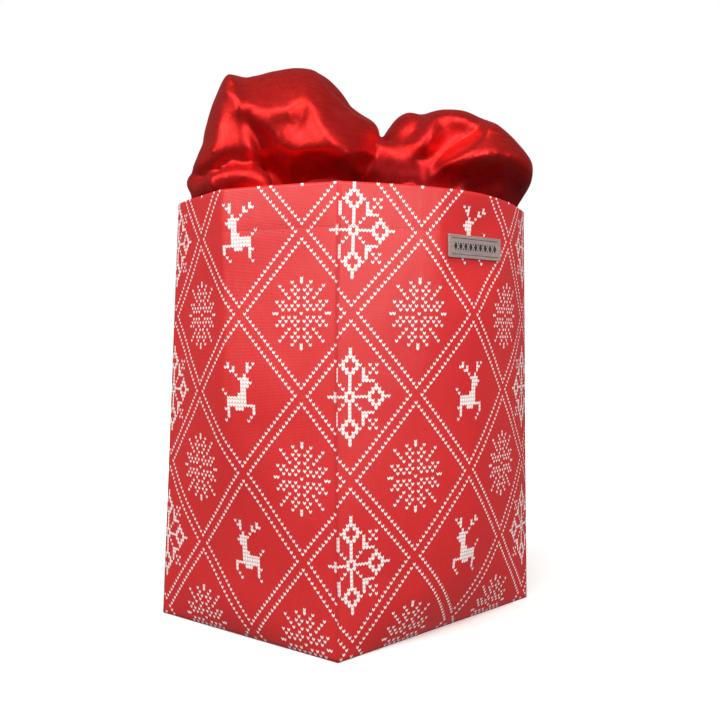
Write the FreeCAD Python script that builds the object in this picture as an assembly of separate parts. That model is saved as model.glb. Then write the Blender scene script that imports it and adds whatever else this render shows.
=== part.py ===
import FreeCAD, Part
import math
import os

# A sewn gift bag: two panels, two creased gussets, a base with a loose board,
# a faced mouth, a metal name plate and a piece of satin bunched in the mouth.
# Millimetres. +Z up, front towards -Y, origin at the middle of the base.

# Driving dimensions
WIDTH = 250.0           # across the front, at the base
DEPTH = 204.0           # front to back, at the base
HEIGHT = 350.0          # base to mouth
FABRIC = 1.0            # lined wall
SEAM_GAP = 0.06         # each panel stops this far short of a corner
FACING_GAP = 0.2        # wall to facing
FACING = 0.8            # facing thickness
BINDING_WIDTH = 2.4     # seam allowances, stitched together
BINDING_REACH = 8.0
BOARD = 2.5             # stiffening board
PLATE_LENGTH = 67.0
PLATE_HEIGHT = 18.0
PLATE_SHIFT = 2.5       # plate to the right of the middle of the front
PLATE_THICK = 1.5
PLATE_Z = 306.0         # middle of the name plate
PLATE_GAP = 0.6         # plate to fabric, and fabric to backing
PRONG_SPACING = 50.0
SATIN_BOTTOM = 318.0    # how far down the satin is tucked
SATIN_INSET = 8.0       # tucked satin to the outside of the walls
SATIN_CORNER = 20.0     # it stays this far from the corners, where the bindings are

FRONT, RIGHT, BACK, LEFT = range(4)
MOUTH_LEVELS = (317, 324, 331, 338, 345)
LEVELS = (0, 4, 10, 20, 35, 55, 80, 110, 145, 185, 225, 255, 275, 292, 306) + MOUTH_LEVELS + (350,)
FLAT_START = 0.34       # the front wall lies flat behind the name plate
FLAT_END = 0.66
PANEL_STEPS = (0, 0.05, 0.12, 0.22, FLAT_START, 0.42, 0.5, 0.58, FLAT_END, 0.78, 0.88, 0.95, 1)
HALF_GUSSET_STEPS = (0, 0.1, 0.2, 0.3, 0.4, 0.5)


def smooth(value, start, end):
    """0 before start, 1 after end, with an easy curve between."""
    share = min(1.0, max(0.0, (value - start) / (end - start)))
    return share * share * (3 - 2 * share)


def corner(index, z):
    """A vertical seam leans in a little towards the mouth. Front left, then anticlockwise."""
    rise = z / HEIGHT
    half_w = WIDTH / 2
    half_d = DEPTH / 2
    places = (
        (-half_w + 10.4 * rise * rise, -half_d + 8.5 * rise),
        (half_w - 7.0 * rise, -half_d - 1.5 * rise),
        (half_w - 5.0 * rise, half_d - 4.0 * rise),
        (-half_w + 15.0 * rise, half_d - 2.0 * rise),
    )
    return places[index % 4]


def bulge(face, z):
    """How far the middle of a wall stands out from the line between its seams."""
    fill = 1 - math.exp(-z / 45.0)
    hem = 1 - math.exp(-z / 12.0)
    if face == FRONT:
        return fill * (33.0 + 4.0 * smooth(z, 170, 285) + 0.01 * max(0.0, z - 285))
    if face == BACK:
        return fill * (33.0 + 12.0 * smooth(z, 170, 350))
    if face == LEFT:
        return 8.0 * hem + 17.0 * smooth(z, 40, 220) + 4.7 * smooth(z, 250, 350)
    return 7.0 * hem + 11.0 * smooth(z, 60, 260)


def crown(face, t, z):
    """The share of the bulge at t along a wall: rounded panels, creased gussets."""
    if face in (FRONT, BACK):
        power = 3.2 - 1.5 * smooth(z, 0, 60)
    else:
        power = 2.4 - 1.25 * smooth(z, 60, 170)
    return 1 - abs(2 * t - 1) ** power


def wall_point(face, t, z):
    """Outside of a wall, t from 0 to 1 between its seams, anticlockwise from above."""
    ax, ay = corner(face, z)
    bx, by = corner(face + 1, z)
    length = math.hypot(bx - ax, by - ay)
    nx = (by - ay) / length
    ny = -(bx - ax) / length

    def natural(share):
        out = bulge(face, z) * crown(face, share, z)
        return (ax + (bx - ax) * share + nx * out, ay + (by - ay) * share + ny * out)

    x, y = natural(t)
    flat = smooth(z, 255, 293) * (1 - smooth(z, 319, 352))
    if face == FRONT and FLAT_START < t < FLAT_END:
        x0, y0 = natural(FLAT_START)
        x1, y1 = natural(FLAT_END)
        share = (t - FLAT_START) / (FLAT_END - FLAT_START)
        x += (x0 + (x1 - x0) * share - x) * flat
        y += (y0 + (y1 - y0) * share - y) * flat
    return (x, y)


def outward(face, t, z, side=0):
    """Unit normal of a wall in plan. side -1 or 1 looks only that way, at a crease or a seam."""
    step = 0.004
    before = t if side > 0 or t <= 0 else t - step
    after = t if side < 0 or t >= 1 else t + step
    x0, y0 = wall_point(face, before, z)
    x1, y1 = wall_point(face, after, z)
    length = math.hypot(x1 - x0, y1 - y0)
    return ((y1 - y0) / length, -(x1 - x0) / length)


def mitre(n1, n2, depth):
    """The move from a corner to the same corner of an outline set in by depth."""
    scale = -depth / (1 + n1[0] * n2[0] + n1[1] * n2[1])
    return (scale * (n1[0] + n2[0]), scale * (n1[1] + n2[1]))


def inset_point(face, t, z, depth):
    x, y = wall_point(face, t, z)
    if t <= 0:
        move = mitre(outward(face - 1 if face else LEFT, 1, z), outward(face, 0, z), depth)
    elif t >= 1:
        move = mitre(outward(face, 1, z), outward((face + 1) % 4, 0, z), depth)
    elif face in (LEFT, RIGHT) and t == 0.5:
        move = mitre(outward(face, t, z, -1), outward(face, t, z, 1), depth)
    else:
        nx, ny = outward(face, t, z)
        move = (-depth * nx, -depth * ny)
    return (x + move[0], y + move[1])


def wall_curves(face, z, depth, trim):
    """Point lists along one wall, set in by depth and stopping trim short of each seam."""
    if face in (FRONT, BACK):
        runs = (PANEL_STEPS,)
    else:
        runs = (HALF_GUSSET_STEPS, tuple(1 - step for step in reversed(HALF_GUSSET_STEPS)))
    curves = []
    for run in runs:
        points = []
        for t in run:
            x, y = inset_point(face, t, z, depth)
            if t <= 0 or t >= 1:
                nx, ny = outward(face, t, z)
                way = trim if t <= 0 else -trim
                x -= ny * way
                y += nx * way
            points.append(FreeCAD.Vector(x, y, z))
        curves.append(points)
    return curves


def spline_edge(points):
    curve = Part.BSplineCurve()
    curve.interpolate(points)
    return curve.toShape()


def panel_wire(face, z, inner, outer, trim):
    """The cut through one panel at height z."""
    outside = wall_curves(face, z, inner, trim)
    inside = wall_curves(face, z, outer, trim)
    edges = [spline_edge(points) for points in outside]
    edges.append(Part.makeLine(outside[-1][-1], inside[-1][-1]))
    edges += [spline_edge(list(reversed(points))) for points in reversed(inside)]
    edges.append(Part.makeLine(inside[0][0], outside[0][0]))
    return Part.Wire(edges)


def make_panel(face):
    wires = [panel_wire(face, z, 0.0, FABRIC, SEAM_GAP) for z in LEVELS]
    return Part.makeLoft(wires, True, False)


def closed_wire(z, depth, height=None):
    """The whole mouth outline, set in by depth, drawn at another height if one is given."""
    level = z if height is None else height
    edges = []
    for face in range(4):
        for points in wall_curves(face, z, depth, 0.0):
            edges.append(spline_edge([FreeCAD.Vector(p.x, p.y, level) for p in points]))
    return Part.Wire(edges)


def make_facing():
    """The turned hem: a ring inside the walls, from its stitch line up to the mouth."""
    depth = FABRIC + FACING_GAP
    levels = MOUTH_LEVELS + (HEIGHT - 0.4,)
    outer = Part.makeLoft([closed_wire(z, depth) for z in levels], True, False)
    levels = (MOUTH_LEVELS[0] - 2,) + MOUTH_LEVELS[1:] + (HEIGHT + 2,)
    inner = Part.makeLoft([closed_wire(z, depth + FACING) for z in levels], True, False)
    return outer.cut(inner)


def make_corner_binding(index):
    """Seam allowances inside a vertical seam, standing in along its bisector."""
    wires = []
    for z in (9.5, 30.0, 60.0, 110.0, 170.0, 230.0, 280.0, 314.0):
        x, y = corner(index, z)
        before = outward((index + 3) % 4, 1, z)
        after = outward(index, 0, z)
        dx, dy = mitre(before, after, 1.0)
        length = math.hypot(dx, dy)
        ux, uy = dx / length, dy / length
        start = FABRIC * length + 1.6
        corners = []
        for along, across in ((0, -1), (BINDING_REACH, -1), (BINDING_REACH, 1), (0, 1)):
            a = start + along
            c = across * BINDING_WIDTH / 2
            corners.append(FreeCAD.Vector(x + ux * a - uy * c, y + uy * a + ux * c, z))
        wires.append(Part.makePolygon(corners + corners[:1]))
    return Part.makeLoft(wires, True, False)


def base_slab(inset, z, thick, radius):
    """A flat rectangle inside the walls with rounded corners."""
    width = WIDTH - 2 * inset
    depth = DEPTH - 2 * inset
    corner_point = FreeCAD.Vector(-width / 2, -depth / 2, z)
    slab = Part.makeBox(width, depth, thick, corner_point)
    upright = [edge for edge in slab.Edges if abs(edge.Vertexes[0].Z - edge.Vertexes[-1].Z) > 0.5 * thick]
    return slab.makeFillet(radius, upright)


def make_base_binding():
    outer = base_slab(FABRIC + 0.3, FABRIC + 0.1, 7.0, 2.0)
    inner = base_slab(FABRIC + 2.3, FABRIC - 1.0, 10.0, 1.5)
    return outer.cut(inner)


def plate_block(length, height, front, back, x=0.0, radius=0.0):
    """A block on the name plate's own axes. front and back are measured out from the fabric."""
    start = FreeCAD.Vector(PLATE_SHIFT + x - length / 2, -front, -height / 2)
    block = Part.makeBox(length, front - back, height, start)
    if radius:
        through = [edge for edge in block.Edges if abs(edge.tangentAt(edge.FirstParameter).y) > 0.9]
        block = block.makeFillet(radius, through)
    x0, y0 = wall_point(FRONT, FLAT_START, PLATE_Z)
    x1, y1 = wall_point(FRONT, FLAT_END, PLATE_Z)
    turn = math.degrees(math.atan2(y1 - y0, x1 - x0))
    block.rotate(FreeCAD.Vector(0, 0, 0), FreeCAD.Vector(0, 0, 1), turn)
    block.translate(FreeCAD.Vector((x0 + x1) / 2, (y0 + y1) / 2, PLATE_Z))
    return block


def prongs(width, height, front, back):
    half = PRONG_SPACING / 2
    left = plate_block(width, height, front, back, -half)
    right = plate_block(width, height, front, back, half)
    return left.fuse(right)


def make_name_plate():
    """A flat plate with two prongs that pass through the front panel and the backing."""
    plate = plate_block(PLATE_LENGTH, PLATE_HEIGHT, PLATE_GAP + PLATE_THICK, PLATE_GAP, radius=0.8)
    return plate.fuse(prongs(3.0, 1.0, PLATE_GAP + 0.5, -4.0))


def make_plate_backing():
    inner_face = FABRIC + PLATE_GAP
    backing = plate_block(60.0, 12.0, -inner_face, -inner_face - 0.8)
    return backing.cut(prongs(3.4, 1.4, 0.0, -6.0))


def ellipsoid(middle, along, across, high, turn):
    ball = Part.makeSphere(1.0)
    stretch = FreeCAD.Matrix()
    stretch.scale(along, across, high)
    ball = ball.transformGeometry(stretch)
    ball.rotate(FreeCAD.Vector(0, 0, 0), FreeCAD.Vector(0, 0, 1), turn)
    ball.translate(FreeCAD.Vector(*middle))
    return ball


def make_satin():
    """A plain closed lump: the part tucked in the mouth, a collar and two puffs."""
    tuck = Part.makeLoft(
        [closed_wire(PLATE_Z, SATIN_INSET, SATIN_BOTTOM), closed_wire(PLATE_Z, SATIN_INSET, 353.0)],
        True, False)
    for index in range(4):
        x, y = corner(index, PLATE_Z)
        post = FreeCAD.Vector(x, y, SATIN_BOTTOM - 1)
        tuck = tuck.cut(Part.makeCylinder(SATIN_CORNER, 352.0 - post.z, post))
    collar = Part.makeLoft(
        [closed_wire(HEIGHT, SATIN_INSET, 352.0), closed_wire(HEIGHT, 3.5, 359.0),
         closed_wire(HEIGHT, 6.0, 369.0), closed_wire(HEIGHT, 20.0, 378.0)], True, False)
    above_rim = Part.makeBox(500, 500, 200, FreeCAD.Vector(-250, -250, 352.5))
    left_puff = ellipsoid((-45, 33, 378), 80, 70, 87, -48.3).common(above_rim)
    right_puff = ellipsoid((62, -56, 372), 64, 64, 60, -48.3).common(above_rim)
    return tuck.fuse([collar, left_puff, right_puff])


def build():
    front = make_panel(FRONT).cut(prongs(3.5, 1.5, 3.0, -5.0))
    parts = {
        "front_panel": front,
        "back_panel": make_panel(BACK),
        "left_gusset": make_panel(LEFT),
        "right_gusset": make_panel(RIGHT),
        "base_panel": base_slab(FABRIC + 0.15, 0.0, FABRIC, 1.5),
        "base_seam_binding": make_base_binding(),
        "base_board": base_slab(FABRIC + 2.9, FABRIC + 0.2, BOARD, 6.0),
        "mouth_facing": make_facing(),
        "name_plate": make_name_plate(),
        "plate_backing": make_plate_backing(),
        "satin_cloth": make_satin(),
    }
    names = ("front_left", "front_right", "rear_right", "rear_left")
    for index, name in enumerate(names):
        parts["seam_binding_" + name] = make_corner_binding(index)
    return parts


os.makedirs("parts", exist_ok=True)
for node, shape in build().items():
    shape.exportStep(os.path.join("parts", node + ".step"))
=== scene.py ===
import math

import bmesh
import bpy
import numpy as np
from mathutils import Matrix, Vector, noise


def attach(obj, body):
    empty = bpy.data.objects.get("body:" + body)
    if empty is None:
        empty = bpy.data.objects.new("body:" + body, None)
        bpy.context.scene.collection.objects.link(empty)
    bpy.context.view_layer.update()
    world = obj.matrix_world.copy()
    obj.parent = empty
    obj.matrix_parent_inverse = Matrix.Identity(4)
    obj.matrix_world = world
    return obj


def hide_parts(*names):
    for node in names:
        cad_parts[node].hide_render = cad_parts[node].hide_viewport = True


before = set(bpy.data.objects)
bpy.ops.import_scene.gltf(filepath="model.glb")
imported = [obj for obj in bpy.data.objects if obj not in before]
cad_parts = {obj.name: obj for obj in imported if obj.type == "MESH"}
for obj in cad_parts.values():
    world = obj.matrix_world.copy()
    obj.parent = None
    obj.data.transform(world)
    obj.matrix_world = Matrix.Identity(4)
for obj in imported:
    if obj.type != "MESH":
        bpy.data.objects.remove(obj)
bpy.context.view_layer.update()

MM = 0.001

# ---------------------------------------------------------------- camera, light

scene = bpy.context.scene


def add_camera():
    """Stands level at the front left, with its picture shifted so that the bag fills it."""
    data = bpy.data.cameras.new("camera")
    data.sensor_width = 36.0
    data.lens = 51.25
    data.clip_end = 20.0
    camera = bpy.data.objects.new("camera", data)
    camera.location = (-0.6665, -0.6060, 0.2367)
    heading = math.atan2(0.7466, 0.6639) - 0.0013
    camera.rotation_euler = (math.pi / 2, 0, -heading)
    data.shift_y = -0.0347
    scene.collection.objects.link(camera)
    scene.camera = camera
    return camera


def add_area(name, place, aim, size, power, colour):
    data = bpy.data.lights.new(name, "AREA")
    data.shape = "RECTANGLE"
    data.size, data.size_y = size
    data.energy = power
    data.color = colour
    lamp = bpy.data.objects.new(name, data)
    lamp.location = place
    lamp.rotation_euler = (Vector(aim) - Vector(place)).to_track_quat("-Z", "Y").to_euler()
    scene.collection.objects.link(lamp)
    return lamp


def add_world():
    """White behind the object, a soft even fill on its cloth, and a dim studio in its reflections."""
    world = bpy.data.worlds.new("studio")
    scene.world = world
    world.use_nodes = True
    nodes, links = world.node_tree.nodes, world.node_tree.links
    nodes.clear()
    path = nodes.new("ShaderNodeLightPath")
    out = nodes.new("ShaderNodeOutputWorld")
    last = None
    for ray, strength in ((None, 0.48), ("Is Glossy Ray", 0.10), ("Is Camera Ray", 1.0)):
        light = nodes.new("ShaderNodeBackground")
        light.inputs["Color"].default_value = (1, 1, 1, 1)
        light.inputs["Strength"].default_value = strength
        if last is None:
            last = light.outputs["Background"]
            continue
        mix = nodes.new("ShaderNodeMixShader")
        links.new(path.outputs[ray], mix.inputs["Fac"])
        links.new(last, mix.inputs[1])
        links.new(light.outputs["Background"], mix.inputs[2])
        last = mix.outputs["Shader"]
    links.new(last, out.inputs["Surface"])


# ---------------------------------------------------------------- node helpers


class Nodes:
    """A short way to write node trees."""

    def __init__(self, name):
        self.material = bpy.data.materials.new(name)
        self.material.use_nodes = True
        self.tree = self.material.node_tree
        self.tree.nodes.clear()
        self.out = self.tree.nodes.new("ShaderNodeOutputMaterial")
        self.shader = self.tree.nodes.new("ShaderNodeBsdfPrincipled")
        self.link(self.shader.outputs[0], self.out.inputs["Surface"])

    def link(self, source, target):
        self.tree.links.new(source, target)

    def put(self, value, socket):
        """Sets a socket to a number or a colour, or links an output to it."""
        if isinstance(value, (int, float)):
            socket.default_value = value
        elif isinstance(value, tuple):
            socket.default_value = value if len(value) == len(socket.default_value) else (*value, 1)
        else:
            self.link(value, socket)

    def math(self, operation, *values):
        node = self.tree.nodes.new("ShaderNodeMath")
        node.operation = operation
        for value, socket in zip(values, node.inputs):
            self.put(value, socket)
        return node.outputs[0]

    def mix(self, share, a, b):
        """Colour a where share is 0, b where it is 1."""
        node = self.tree.nodes.new("ShaderNodeMix")
        node.data_type = "RGBA"
        node.clamp_factor = True
        self.put(share, node.inputs[0])
        self.put(a, node.inputs[6])
        self.put(b, node.inputs[7])
        return node.outputs[2]

    def step(self, value, low, high, to_low=0.0, to_high=1.0):
        """An eased change from to_low to to_high while value goes from low to high."""
        node = self.tree.nodes.new("ShaderNodeMapRange")
        node.interpolation_type = "SMOOTHSTEP"
        for number, socket in zip((value, low, high, to_low, to_high), node.inputs):
            self.put(number, socket)
        return node.outputs[0]

    def noise(self, coordinates, scale, detail=2.0, roughness=0.5):
        node = self.tree.nodes.new("ShaderNodeTexNoise")
        self.link(coordinates, node.inputs["Vector"])
        node.inputs["Scale"].default_value = scale
        node.inputs["Detail"].default_value = detail
        node.inputs["Roughness"].default_value = roughness
        return node.outputs["Fac"]

    def place(self):
        """Object coordinates, in metres."""
        return self.tree.nodes.new("ShaderNodeTexCoord").outputs["Object"]

    def stretch(self, coordinates, scale, turn=(0, 0, 0)):
        node = self.tree.nodes.new("ShaderNodeMapping")
        self.link(coordinates, node.inputs["Vector"])
        node.inputs["Scale"].default_value = scale
        node.inputs["Rotation"].default_value = turn
        return node.outputs[0]

    def split(self, coordinates):
        node = self.tree.nodes.new("ShaderNodeSeparateXYZ")
        self.link(coordinates, node.inputs[0])
        return node.outputs

    def attribute(self, name):
        node = self.tree.nodes.new("ShaderNodeAttribute")
        node.attribute_name = name
        return node.outputs["Fac"]

    def bump(self, height, distance, strength=1.0, before=None):
        node = self.tree.nodes.new("ShaderNodeBump")
        node.inputs["Distance"].default_value = distance
        node.inputs["Strength"].default_value = strength
        self.link(height, node.inputs["Height"])
        if before is not None:
            self.link(before, node.inputs["Normal"])
        return node.outputs[0]

    def set(self, **values):
        """Fills the shader's sockets, with _ for each space in a name, and gives the material."""
        for name, value in values.items():
            self.put(value, self.shader.inputs[name.replace("_", " ")])
        return self.material


def weave_height(n, across, along, pitch):
    """Crossing threads from two coordinates in millimetres."""
    a = n.math("SINE", n.math("MULTIPLY", across, 2 * math.pi / pitch))
    b = n.math("SINE", n.math("MULTIPLY", along, 2 * math.pi / pitch))
    return n.math("MULTIPLY_ADD", n.math("MULTIPLY", a, b), 0.5, 0.5)


# ---------------------------------------------------------------- materials

CELL_W = 2.68       # one stitch of the print, mm
CELL_H = 2.921


def printed_fabric(name):
    """Laminated woven fabric: red with a knit print, drawn one V to a cell. Stitches that stand
    above each other join up, with a thin red V left between them."""
    n = Nodes(name)
    uv = n.tree.nodes.new("ShaderNodeUVMap")
    uv.uv_map = "cells"
    col, row, _ = n.split(uv.outputs["UV"])
    inside_u = n.math("FRACT", col)
    inside_v = n.math("FRACT", row)
    side = n.math("MULTIPLY", n.math("ABSOLUTE", n.math("SUBTRACT", inside_u, 0.5)), 2.0)
    centre = n.math("MULTIPLY_ADD", side, 0.40, 0.30)
    above_v = n.math("SUBTRACT", inside_v, centre)
    stroke = n.step(n.math("ABSOLUTE", above_v), 0.24, 0.34, 1.0, 0.0)
    up = n.math("MINIMUM", n.step(above_v, 0.0, 0.06), n.step(above_v, 0.53, 0.61, 1.0, 0.0))
    up = n.math("MULTIPLY", up, n.attribute("above"))
    down = n.math("MULTIPLY", n.step(above_v, -0.47, -0.39, 1.0, 0.0), n.attribute("below"))
    stroke = n.math("MAXIMUM", stroke, n.math("MAXIMUM", up, down))
    reach = n.step(side, 0.86, 0.99, 1.0, 0.0)
    print_mask = n.math("MULTIPLY", n.math("MULTIPLY", stroke, reach), n.attribute("stitch"))

    mm_u = n.math("MULTIPLY", col, CELL_W)
    mm_v = n.math("MULTIPLY", row, CELL_H)
    weave = weave_height(n, n.math("ADD", mm_u, mm_v), n.math("SUBTRACT", mm_u, mm_v), 2.2)
    place = n.place()
    broad = n.noise(place, 9.0, 2.0)
    fine = n.noise(place, 900.0, 2.0)
    red = n.mix(n.step(weave, 0.1, 0.9), (0.50, 0.008, 0.011), (0.66, 0.019, 0.019))
    red = n.mix(n.step(broad, 0.35, 0.7), red, (0.56, 0.011, 0.014))
    white = n.mix(n.step(weave, 0.0, 0.8), (0.74, 0.66, 0.64), (0.90, 0.87, 0.85))
    colour = n.mix(print_mask, red, white)
    # painted shade: the colour darkens along the upright seams below the hem, where their creases lie in
    # shade
    seam = n.attribute("seam")
    colour = n.mix(n.math("MULTIPLY", seam, 0.45), colour, (0.30, 0.008, 0.012))
    height = n.math("ADD", n.math("MULTIPLY", weave, 0.6), n.math("MULTIPLY", fine, 0.4))
    creases = n.noise(n.stretch(place, (1, 1, 0.45)), 26.0, 3.0, 0.55)
    normal = n.bump(creases, 0.0035, 0.55)
    normal = n.bump(height, 0.00022, 0.75, normal)
    rough = n.math("MULTIPLY_ADD", fine, 0.12, 0.36)
    n.link(normal, n.shader.inputs["Normal"])
    return n.set(Base_Color=colour, Roughness=rough, Specular_IOR_Level=0.5,
                 Sheen_Weight=0.06, Sheen_Roughness=0.4, Sheen_Tint=(1.0, 0.72, 0.70, 1))


def plain_weave(name, dark, light, pitch_mm, depth, roughness=0.75):
    """Plain cloth, tape or lining, on object coordinates."""
    n = Nodes(name)
    place = n.place()
    x, y, z = n.split(place)
    flat = n.math("MULTIPLY", n.math("ADD", x, y), 1000.0)
    other = n.math("MULTIPLY", n.math("ADD", z, n.math("MULTIPLY", y, 0.6)), 1000.0)
    weave = weave_height(n, flat, other, pitch_mm)
    broad = n.noise(place, 30.0, 3.0)
    colour = n.mix(n.step(weave, 0.0, 1.0), dark, light)
    colour = n.mix(n.step(broad, 0.4, 0.75, 0.0, 0.35), colour, dark)
    n.link(n.bump(weave, depth, 0.8), n.shader.inputs["Normal"])
    return n.set(Base_Color=colour, Roughness=n.math("MULTIPLY_ADD", broad, 0.15, roughness - 0.07),
                 Sheen_Weight=0.2)


def board_material():
    """Grey-brown cardboard with fibres."""
    n = Nodes("board_card")
    place = n.place()
    fibres = n.noise(n.stretch(place, (1.0, 6.0, 1.0), (0, 0, 0.5)), 260.0, 4.0, 0.6)
    specks = n.noise(place, 1500.0, 1.0)
    colour = n.mix(n.step(fibres, 0.3, 0.7), (0.30, 0.215, 0.14), (0.46, 0.35, 0.24))
    colour = n.mix(n.step(specks, 0.66, 0.74), colour, (0.18, 0.12, 0.08))
    n.link(n.bump(fibres, 0.0002, 0.7), n.shader.inputs["Normal"])
    return n.set(Base_Color=colour, Roughness=n.math("MULTIPLY_ADD", fibres, 0.1, 0.85))


def brushed_metal(name, dark, light, rough):
    """Pewter-coloured plate, brushed along its length."""
    n = Nodes(name)
    place = n.place()
    lines = n.noise(n.stretch(place, (0.06, 0.06, 3.0)), 900.0, 3.0, 0.6)
    stain = n.noise(place, 55.0, 3.0)
    colour = n.mix(n.step(lines, 0.3, 0.72), dark, light)
    colour = n.mix(n.step(stain, 0.45, 0.7, 0.0, 0.4), colour, dark)
    n.link(n.bump(lines, 0.00006, 0.6), n.shader.inputs["Normal"])
    return n.set(Base_Color=colour, Roughness=n.math("MULTIPLY_ADD", lines, 0.16, rough), Metallic=0.55)


def satin_material():
    """Glossy polyester satin: broad coloured highlights, and a painted shade that darkens its colour where
    the stored shade value is high.
    """
    n = Nodes("satin_red")
    place = n.place()
    threads = n.noise(n.stretch(place, (0.25, 1.0, 1.0), (0.3, 0.2, 0.8)), 2600.0, 2.0, 0.6)
    slubs = n.noise(n.stretch(place, (0.12, 1.0, 1.0), (0.1, 0.3, 0.8)), 420.0, 2.0, 0.5)
    broad = n.noise(place, 24.0, 2.0)
    colour = n.mix(n.step(slubs, 0.3, 0.75), (0.62, 0.012, 0.011), (0.75, 0.026, 0.020))
    colour = n.mix(n.step(broad, 0.35, 0.75, 0.0, 0.5), colour, (0.56, 0.008, 0.010))
    # painted shade: the satin's colour goes to a dark red where the stored painted shade value is high
    colour = n.mix(n.attribute("painted_shade"), colour, (0.27, 0.002, 0.005))
    normal = n.bump(broad, 0.0006, 0.5)
    normal = n.bump(threads, 0.00010, 0.6, normal)
    n.link(normal, n.shader.inputs["Normal"])
    rough = n.math("MULTIPLY_ADD", threads, 0.12, 0.39)
    return n.set(Base_Color=colour, Roughness=rough, Metallic=0.84, Specular_IOR_Level=0.6,
                 Sheen_Weight=0.05, Sheen_Roughness=0.3, Sheen_Tint=(1.0, 0.45, 0.4, 1))


def floor_material():
    """Off-white, glowing more the farther it is from the bag, so that only a soft shadow shows."""
    n = Nodes("studio_floor")
    place = n.place()
    speckle = n.noise(place, 40.0, 2.0)
    x, y, _ = n.split(place)
    far = n.math("SQRT", n.math("ADD", n.math("MULTIPLY", x, x), n.math("MULTIPLY", y, y)))
    colour = n.mix(speckle, (0.90, 0.895, 0.89), (0.93, 0.925, 0.92))
    n.put((1.0, 1.0, 1.0), n.shader.inputs["Emission Color"])
    n.put(n.step(far, 0.12, 0.9, 0.16, 1.0), n.shader.inputs["Emission Strength"])
    return n.set(Base_Color=colour, Roughness=0.9)


# ---------------------------------------------------------------- the walls' shape

WIDTH = 250.0           # across the front, at the base, mm
DEPTH = 204.0           # front to back, at the base
HEIGHT = 350.0          # base to mouth
HEM = 317.0             # height of the hem's stitch line
FRONT, RIGHT, BACK, LEFT = range(4)
FLAT_START = 0.34       # the front wall lies flat behind the name plate
FLAT_END = 0.66
PLATE_Z = 306.0         # middle of the name plate
PLATE_SHIFT = 2.5       # plate to the right of the middle of the front
PLATE_HALF_LENGTH = 33.5
PLATE_HALF_HEIGHT = 9.0
PLATE_BACK = 0.6        # fabric to the plate's back
PLATE_FRONT = 2.1       # fabric to the plate's front
WALL_NODES = ("front_panel", "right_gusset", "back_panel", "left_gusset")


def smooth(value, start, end):
    """0 before start, 1 after end, with an easy curve between."""
    share = min(1.0, max(0.0, (value - start) / (end - start)))
    return share * share * (3 - 2 * share)


def corner(index, z):
    """A vertical seam leans in a little towards the mouth. Front left, then anticlockwise."""
    rise = z / HEIGHT
    half_w = WIDTH / 2
    half_d = DEPTH / 2
    places = (
        (-half_w + 10.4 * rise * rise, -half_d + 8.5 * rise),
        (half_w - 7.0 * rise, -half_d - 1.5 * rise),
        (half_w - 5.0 * rise, half_d - 4.0 * rise),
        (-half_w + 15.0 * rise, half_d - 2.0 * rise),
    )
    return places[index % 4]


def bulge(face, z):
    """How far the middle of a wall stands out from the line between its seams."""
    fill = 1 - math.exp(-z / 45.0)
    hem = 1 - math.exp(-z / 12.0)
    if face == FRONT:
        return fill * (33.0 + 4.0 * smooth(z, 170, 285) + 0.01 * max(0.0, z - 285))
    if face == BACK:
        return fill * (33.0 + 12.0 * smooth(z, 170, 350))
    if face == LEFT:
        return 8.0 * hem + 17.0 * smooth(z, 40, 220) + 4.7 * smooth(z, 250, 350)
    return 7.0 * hem + 11.0 * smooth(z, 60, 260)


def crown(face, t, z):
    """The share of the bulge at t along a wall: rounded panels, creased gussets."""
    if face in (FRONT, BACK):
        power = 3.2 - 1.5 * smooth(z, 0, 60)
    else:
        power = 2.4 - 1.25 * smooth(z, 60, 170)
    return 1 - abs(2 * t - 1) ** power


def wall_point(face, t, z):
    """Outside of a wall, t from 0 to 1 between its seams, anticlockwise from above."""
    ax, ay = corner(face, z)
    bx, by = corner(face + 1, z)
    length = math.hypot(bx - ax, by - ay)
    nx = (by - ay) / length
    ny = -(bx - ax) / length

    def natural(share):
        out = bulge(face, z) * crown(face, share, z)
        return (ax + (bx - ax) * share + nx * out, ay + (by - ay) * share + ny * out)

    x, y = natural(t)
    flat = smooth(z, 255, 293) * (1 - smooth(z, 319, 352))
    if face == FRONT and FLAT_START < t < FLAT_END:
        x0, y0 = natural(FLAT_START)
        x1, y1 = natural(FLAT_END)
        share = (t - FLAT_START) / (FLAT_END - FLAT_START)
        x += (x0 + (x1 - x0) * share - x) * flat
        y += (y0 + (y1 - y0) * share - y) * flat
    return (x, y)


def soft_dents(face, t, z):
    """How far the fabric stands off its drawn shape, in mm: slow waves, none at a seam."""
    edge = smooth(t, 0.0, 0.16) * (1 - smooth(t, 0.84, 1.0)) * smooth(z, 0, 40)
    spot = Vector((face * 7.3 + t * 3.1, z / 95.0, 1.7))
    wave = noise.noise(spot) * 1.5
    spot = Vector((face * 3.9 + t * 8.0, z / 42.0, 6.1))
    wave += noise.noise(spot) * 0.55
    quiet = 1.0
    if face == FRONT:     # the plate keeps its fabric flat
        quiet = 1 - smooth(t, 0.22, 0.34) * (1 - smooth(t, 0.66, 0.78)) * smooth(z, 265, 290)
    hem = -0.45 * math.exp(-((z - HEM) / 1.6) ** 2) * smooth(t, 0.0, 0.03) * (1 - smooth(t, 0.97, 1.0))
    return edge * wave * quiet + hem


def mouth_dip(face, t, z):
    """The mouth edge sinks a little towards the front right corner."""
    if face == FRONT:
        low = smooth(t, 0.25, 1.0)
    elif face == RIGHT:
        low = 1 - smooth(t, 0.0, 0.6)
    else:
        low = 0.0
    return 3.2 * low * smooth(z, 325, 350)


SAMPLES = 160


def wall_lines(face, z):
    """How far points along a wall at height z are from its first seam."""
    points = [wall_point(face, i / SAMPLES, z) for i in range(SAMPLES + 1)]
    far = [0.0]
    for (x0, y0), (x1, y1) in zip(points, points[1:]):
        far.append(far[-1] + math.hypot(x1 - x0, y1 - y0))
    return far


def share_at(far, distance):
    """How far along a wall a distance from its first seam is, from 0 to 1."""
    return float(np.interp(distance, far, [i / SAMPLES for i in range(SAMPLES + 1)]))


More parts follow.
